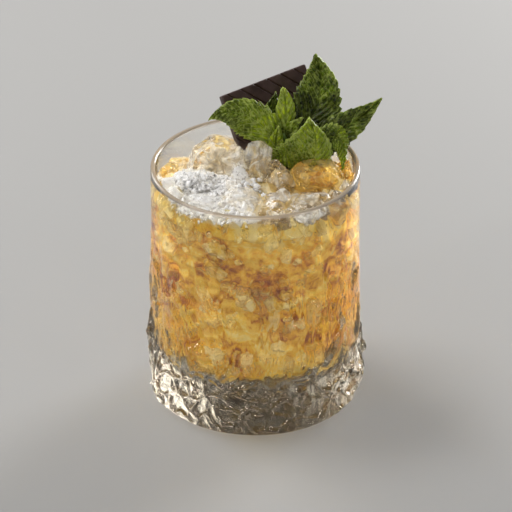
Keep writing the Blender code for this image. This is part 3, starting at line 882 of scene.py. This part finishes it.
class Nodes:
    """The nodes of a material or of the world, added and linked by name."""

    def __init__(self, owner):
        owner.use_nodes = True
        self.tree = owner.node_tree

    def add(self, kind, inputs=None, **settings):
        made = self.tree.nodes.new("ShaderNode" + kind)
        for name, value in settings.items():
            setattr(made, name, value)
        self.feed(made, inputs or {})
        return made

    def feed(self, node, inputs):
        for name, value in inputs.items():
            if isinstance(value, bpy.types.NodeSocket):
                self.tree.links.new(value, node.inputs[name])
            else:
                node.inputs[name].default_value = value

    def axes(self, place):
        """The X, Y and Z of a place, by name."""
        return self.add("SeparateXYZ", {"Vector": place}).outputs

    def range(self, value, low, high, to_low=0.0, to_high=1.0):
        inputs = {"Value": value, "From Min": low, "From Max": high, "To Min": to_low, "To Max": to_high}
        return self.add("MapRange", inputs).outputs["Result"]

    def maths(self, operation, one, other):
        return self.add("Math", {0: one, 1: other}, operation=operation).outputs["Value"]


class Shading(Nodes):
    """One material."""

    def __init__(self, name):
        self.material = bpy.data.materials.new(name)
        super().__init__(self.material)
        self.shader = self.tree.nodes["Principled BSDF"]
        self.output = self.tree.nodes["Material Output"]
        self.place = self.add("TexCoord").outputs["Object"]

    def set(self, **inputs):
        """Sets the shader's sockets, whose names are written with _ for a space."""
        self.feed(self.shader, {name.replace("_", " "): value for name, value in inputs.items()})

    def given(self, name):
        """A number that each point of the piece carries."""
        return self.add("Attribute", attribute_name=name).outputs["Fac"]

    def stretched(self, scale):
        return self.add("Mapping", {"Vector": self.place, "Scale": scale}).outputs["Vector"]

    def noise(self, size, detail=4.0, roughness=0.55, distortion=0.0, place=None):
        inputs = {
            "Vector": place or self.place, "Scale": 1.0 / size, "Detail": detail,
            "Roughness": roughness, "Distortion": distortion,
        }
        return self.add("TexNoise", inputs).outputs["Fac"]

    def ramp(self, factor, *stops):
        """A colour ramp through stops of (position, colour)."""
        made = self.add("ValToRGB", {"Fac": factor})
        elements = made.color_ramp.elements
        while len(elements) < len(stops):
            elements.new(0.5)
        for element, (position, colour) in zip(elements, stops):
            element.position = position
            element.color = (*colour, 1.0)
        return made.outputs["Color"]

    def mix(self, factor, one, other, blend="MIX"):
        made = self.add("Mix", data_type="RGBA", blend_type=blend)
        for socket, value in zip((made.inputs[0], made.inputs[6], made.inputs[7]), (factor, one, other)):
            if isinstance(value, bpy.types.NodeSocket):
                self.tree.links.new(value, socket)
            else:
                socket.default_value = (*value, 1.0) if isinstance(value, tuple) else value
        return made.outputs[2]

    def let_lamps_through(self, tint=(0.95, 0.95, 0.95)):
        """Lets the lamps light what is behind the glass straight through it."""
        shadow = self.add("LightPath").outputs["Is Shadow Ray"]
        clear = self.add("BsdfTransparent", {"Color": (*tint, 1.0)}).outputs["BSDF"]
        inputs = {"Fac": shadow, 1: self.shader.outputs["BSDF"], 2: clear}
        mixed = self.add("MixShader", inputs)
        self.tree.links.new(mixed.outputs["Shader"], self.output.inputs["Surface"])

    def absorb(self, colour, density):
        """Darkens light by how far it goes through the solid."""
        haze = self.add("VolumeAbsorption", {"Color": (*colour, 1.0), "Density": density})
        self.tree.links.new(haze.outputs["Volume"], self.output.inputs["Volume"])

    def bump(self, height, distance, strength=1.0, normal=None):
        inputs = {"Height": height, "Distance": distance, "Strength": strength}
        if normal:
            inputs["Normal"] = normal
        return self.add("Bump", inputs).outputs["Normal"]


def glass_material():
    made = Shading("clear_glass")
    height = made.axes(made.place)["Z"]
    low = made.range(height, 0.055, 0.072, 1.0, 0.0)
    wrinkles = made.noise(0.0026, 2.0, 0.45, 1.0, made.stretched((1.0, 1.0, 0.5)))
    pits = made.bump(made.maths("MULTIPLY", wrinkles, low), 0.00035, 1.0)
    # Painted light: the top of the rim is given a beige colour and made half opaque, standing in for the
    # drink's light that the wall carries up to it
    lip = made.range(height, GLASS_HEIGHT - RIM_WALL * 0.65, GLASS_HEIGHT - RIM_WALL * 0.15)
    made.set(
        Base_Color=made.mix(lip, (0.985, 0.99, 0.985), (0.80, 0.66, 0.50)), Roughness=0.0, IOR=1.50,
        Transmission_Weight=made.range(lip, 0.0, 1.0, 1.0, 0.45), Normal=pits,
    )
    made.absorb((0.90, 0.89, 0.87), 115.0)
    made.let_lamps_through()
    return made.material


def liquid_material():
    made = Shading("amber_liquid")
    made.set(Base_Color=(1.0, 1.0, 1.0, 1.0), Roughness=0.0, IOR=1.34, Transmission_Weight=1.0)
    made.absorb((1.0, 0.84, 0.25), 60.0)
    made.let_lamps_through()
    return made.material


def amber_patches(made, paleness):
    """Amber, straw and brown in soft patches, as crushed ice looks in whiskey."""
    gathered = made.range(made.noise(0.026, 2.0, 0.5), 0.3, 0.7, -0.035, 0.15)
    broad = made.noise(0.011, 3.0, 0.5, 1.4)
    fine = made.noise(0.0034, 6.0, 0.70, 0.8)
    height = made.axes(made.place)["Z"]
    pale_top = made.range(height, 0.070, 0.090, -0.085, -0.045)
    pale_foot = made.range(height, 0.020, 0.050, 0.045, 0.0)
    patches = made.maths("MULTIPLY", broad, 0.50)
    by_height = made.maths("ADD", pale_top, pale_foot)
    for more in (made.maths("MULTIPLY", fine, 0.52), gathered, by_height, paleness):
        patches = made.maths("ADD", patches, more)
    return made.ramp(
        patches,
        (0.35, (0.24, 0.055, 0.002)),
        (0.42, (0.56, 0.25, 0.012)),
        (0.48, (0.80, 0.50, 0.045)),
        (0.56, (0.90, 0.69, 0.150)),
        (0.64, (0.96, 0.86, 0.500)),
    )


def slush_material():
    made = Shading("slush")
    made.set(
        Base_Color=amber_patches(made, -0.01), Roughness=0.35,
        Normal=made.bump(made.noise(0.0012, 3.0), 0.0003, 0.6),
    )
    return made.material


def sunk_ice_material():
    """Ice in the drink: nearly unseen where it is clear, pale where it is cloudy."""
    made = Shading("sunk_ice")
    clear = made.range(made.noise(0.006, 4.0, 0.6, 0.8), 0.38, 0.62, 0.92, 0.30)
    made.set(
        Base_Color=amber_patches(made, 0.12), Roughness=0.06, IOR=1.10, Transmission_Weight=clear,
        Normal=made.bump(made.noise(0.0015, 3.0), 0.0003, 0.5),
    )
    made.let_lamps_through((0.9, 0.9, 0.9))
    return made.material


def ice_material():
    """Ice that is clear or cloudy, beige where it is clean and golden where drink has run in."""
    made = Shading("clear_ice")
    clear, gold = made.given("clear"), made.given("gold")
    cracks = made.range(made.noise(0.0060, 4.0, 0.6, 1.2), 0.46, 0.68, 0.10, -0.55)
    clear = made.maths("ADD", clear, cracks)
    clear = made.range(clear, 0.0, 1.0, 0.04, 0.97)
    stains = made.range(made.noise(0.0045, 4.0, 0.6, 0.6), 0.3, 0.7, -0.3, 0.25)
    stained = made.maths("ADD", gold, stains)
    colour = made.ramp(
        stained,
        (0.0, (0.96, 0.95, 0.93)),
        (0.30, (0.93, 0.88, 0.76)),
        (0.62, (0.90, 0.74, 0.40)),
        (1.0, (0.86, 0.60, 0.17)),
    )
    # Clear ice that is not golden is tinted warm grey and darker: partly its colour, partly painted shade
    # for the dark seen through it
    smoky_shade = made.maths("MULTIPLY", made.range(clear, 0.45, 0.80), made.range(gold, 0.4, 0.8, 1.0, 0.0))
    colour = made.mix(smoky_shade, colour, made.mix(1.0, colour, (0.69, 0.63, 0.54), "MULTIPLY"))
    pores = made.range(made.noise(0.0012, 4.0, 0.6), 0.36, 0.42, 0.30, 1.0)
    pores = made.maths("MAXIMUM", pores, made.range(clear, 0.45, 0.70))
    colour = made.mix(pores, (0.30, 0.27, 0.26), colour)
    normal = made.bump(made.noise(0.0035, 3.0, 0.5), 0.0006, 0.35)
    made.set(
        Base_Color=colour, Roughness=made.range(clear, 0.0, 0.8, 0.38, 0.04), IOR=1.31,
        Transmission_Weight=clear, Normal=normal,
    )
    made.let_lamps_through((0.85, 0.83, 0.78))
    return made.material


def cloud_material():
    """The milky heart of a lump of ice."""
    made = Shading("ice_cloud")
    stains = made.range(made.noise(0.0035, 5.0, 0.6, 0.6), 0.3, 0.7, -0.25, 0.25)
    stained = made.maths("ADD", made.given("gold"), stains)
    colour = made.ramp(
        stained,
        (0.0, (0.86, 0.83, 0.78)),
        (0.30, (0.74, 0.65, 0.46)),
        (0.62, (0.76, 0.56, 0.23)),
        (0.88, (0.90, 0.63, 0.18)),
        (1.0, (0.50, 0.25, 0.05)),
    )
    made.set(Base_Color=colour, Roughness=0.5, Normal=made.bump(made.noise(0.0012, 4.0), 0.0004, 0.7))
    return made.material


def frost_material():
    """Snow-like ice: white with fine grey pores."""
    made = Shading("frost")
    pores = made.noise(0.0011, 4.0, 0.6)
    colour = made.ramp(
        pores,
        (0.35, (0.26, 0.24, 0.24)),
        (0.42, (0.90, 0.88, 0.86)),
        (0.54, (0.99, 0.985, 0.98)),
    )
    made.set(Base_Color=colour, Roughness=0.35, Normal=made.bump(made.noise(0.0006, 3.0), 0.00015, 0.8))
    return made.material


def heap_core_material():
    made = Shading("heap_core")
    axes = made.axes(made.place)
    wavy = made.range(made.noise(0.005, 4.0), 0.3, 0.7, -0.006, 0.006)
    left = made.range(made.maths("ADD", axes["X"], wavy), -0.010, 0.004, 1.0, 0.0)
    front = made.range(axes["Y"], 0.033, 0.039, 1.0, 0.0)
    above = made.range(axes["Z"], DRINK_LEVEL + 0.002, DRINK_LEVEL + 0.004, 0.0, 1.0)
    white = made.maths("MULTIPLY", made.maths("MULTIPLY", left, front), above)
    amber = amber_patches(made, 0.03)
    beige = made.mix(made.maths("MULTIPLY", above, 0.6), amber, (0.62, 0.50, 0.32))
    made.set(
        Base_Color=made.mix(white, beige, (0.90, 0.88, 0.86)), Roughness=0.3,
        Normal=made.bump(made.noise(0.0012, 4.0), 0.0004, 0.7),
    )
    return made.material


def leaf_material():
    made = Shading("mint_leaf")
    uneven = made.range(made.noise(0.0055, 4.0), 0.3, 0.7, -0.34, 0.26)
    # The leaf's tone, which holds painted light and shade, with random unevenness added
    tone_and_shade = made.maths("ADD", made.given("tone_and_shade"), uneven)
    blade = made.ramp(
        tone_and_shade,
        (0.0, (0.006, 0.010, 0.001)),
        (0.3, (0.032, 0.054, 0.002)),
        (0.6, (0.150, 0.220, 0.004)),
        (1.0, (0.50, 0.63, 0.020)),
    )
    # Painted shade: the creases between the crests are darkened to near black, the crests keep the blade
    # colour
    shaded = made.mix(made.range(made.given("lit_crest"), 0.30, 0.90), (0.005, 0.011, 0.001), blade)
    mottles = made.range(made.noise(0.0022, 4.0), 0.40, 0.75, 0.0, 0.3)
    mottled = made.mix(mottles, shaded, (0.26, 0.32, 0.010))
    veins = made.range(made.given("vein"), 0.25, 0.9, 0.0, 0.85)
    # Veins fade where the leaf is painted into shade
    shown = made.maths("MULTIPLY", veins, made.range(tone_and_shade, 0.0, 0.5, 0.15, 1.0))
    veined = made.mix(shown, mottled, (0.52, 0.62, 0.14))
    normal = made.bump(made.noise(0.0006, 3.0), 0.0001, 0.6)
    made.set(
        Base_Color=veined, Roughness=0.38, Specular_IOR_Level=0.22, Normal=normal,
        Subsurface_Weight=0.15, Subsurface_Radius=(0.6, 1.0, 0.2), Subsurface_Scale=0.0008,
    )
    return made.material


def stem_material():
    made = Shading("mint_stem")
    colour = made.mix(made.noise(0.002, 3.0), (0.10, 0.19, 0.03), (0.24, 0.34, 0.09))
    made.set(Base_Color=colour, Roughness=0.45)
    return made.material


def chocolate_material():
    made = Shading("dark_chocolate")
    bloom = made.noise(0.006, 5.0, 0.6)
    colour = made.mix(made.range(bloom, 0.35, 0.70), (0.038, 0.018, 0.014), (0.078, 0.042, 0.036))
    specks = made.range(made.noise(0.0005, 2.0), 0.72, 0.78)
    colour = made.mix(made.maths("MULTIPLY", specks, 0.35), colour, (0.25, 0.18, 0.15))
    normal = made.bump(made.noise(0.004, 4.0), 0.0002, 0.4)
    normal = made.bump(made.noise(0.0006, 3.0), 0.00004, 0.5, normal)
    made.set(
        Base_Color=colour, Roughness=made.range(bloom, 0.3, 0.8, 0.30, 0.42), Normal=normal,
        Specular_IOR_Level=0.5,
    )
    return made.material


def floor_material():
    made = Shading("pale_floor")
    made.set(Base_Color=(0.41, 0.405, 0.395, 1.0), Roughness=0.5)
    return made.material


# The stage

def make_floor():
    points = [(x * FLOOR_REACH, y * FLOOR_REACH, 0.0) for x, y in ((-1, -1), (1, -1), (1, 1), (-1, 1))]
    floor = new_piece("floor", points, [(0, 1, 2, 3)], floor_material())
    floor.location.z = -FLOOR_GAP


def make_camera():
    camera = bpy.data.objects.new("camera", bpy.data.cameras.new("camera"))
    bpy.context.scene.collection.objects.link(camera)
    back = Vector((0.0, -math.cos(CAMERA_ELEVATION), math.sin(CAMERA_ELEVATION)))
    camera.location = CAMERA_TARGET + back * CAMERA_DISTANCE
    camera.rotation_euler = (-back).to_track_quat("-Z", "Y").to_euler()
    camera.data.lens = CAMERA_LENS
    camera.data.sensor_width = CAMERA_SENSOR
    bpy.context.scene.camera = camera


def make_softbox(name, place, size, power, colour=(1.0, 1.0, 1.0)):
    """A large soft light at a place, turned towards the drink."""
    light = bpy.data.lights.new(name, "AREA")
    light.shape = "RECTANGLE"
    light.size, light.size_y = size
    light.energy = power
    light.color = colour
    made = bpy.data.objects.new(name, light)
    bpy.context.scene.collection.objects.link(made)
    made.location = place
    made.rotation_euler = (LIGHTS_AIM - Vector(place)).to_track_quat("-Z", "Y").to_euler()


def make_world():
    """Soft light from all round and above, dim behind the drink to keep the glass's thick base dark."""
    world = bpy.data.worlds.new("studio")
    made = Nodes(world)
    axes = made.axes(made.add("TexCoord").outputs["Generated"])
    behind = made.range(axes["Y"], -0.3, 0.5, 0.16, 0.015)
    above = made.range(axes["Z"], 0.6, 0.9, 0.0, 0.30)
    strength = made.maths("ADD", behind, above)
    made.feed(made.tree.nodes["Background"], {"Color": (1.0, 0.98, 0.96, 1.0), "Strength": strength})
    bpy.context.scene.world = world


def make_lights():
    make_softbox("left_box", (-0.70, -0.50, 0.30), (0.06, 0.35), 1.1, (1.0, 0.98, 0.96))
    make_softbox("right_box", (0.66, -0.56, 0.16), (0.06, 0.35), 0.85, (1.0, 0.98, 0.95))
    make_softbox("back_right_box", (0.60, 0.67, 0.30), (0.36, 0.46), 9.0)
    make_softbox("back_left_box", (-0.62, 0.62, 0.50), (0.3, 0.4), 4.0)
    make_softbox("top_box", (-0.42, 0.15, 0.85), (0.3, 0.3), 3.1)
    make_softbox("front_box", (0.10, -1.30, 0.70), (1.0, 0.8), 3.0)
    make_world()


def dress(piece, slot, *nodes):
    """Lets a piece ride with the drink and lets it stand for CAD nodes; slot is not used."""
    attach(piece, "root")
    if nodes:
        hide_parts(*nodes)


def main():
    make_camera()
    dress(make_glass(glass_material()), "glass", "glass")
    dress(make_liquid(liquid_material()), "drink", "drink")
    dress(make_slush(slush_material()), "ice")
    dress(make_sunk_ice(sunk_ice_material()), "ice")
    dress(make_heap_core(heap_core_material()), "ice", "ice_heap")
    clear_ice = ice_material()
    dress(make_ice_lumps(clear_ice), "ice")
    dress(make_ice_chips(clear_ice), "ice")
    dress(make_clouds(cloud_material()), "ice")
    dress(make_frost(frost_material()), "ice")
    dress(make_leaves(leaf_material()), "mint", "mint_sprig")
    dress(make_stem(stem_material()), "mint")
    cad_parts["chocolate"].data.materials.clear()
    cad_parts["chocolate"].data.materials.append(chocolate_material())
    make_floor()
    make_lights()


bpy.context.scene.view_settings.view_transform = "Standard"
main()
bpy.context.view_layer.update()
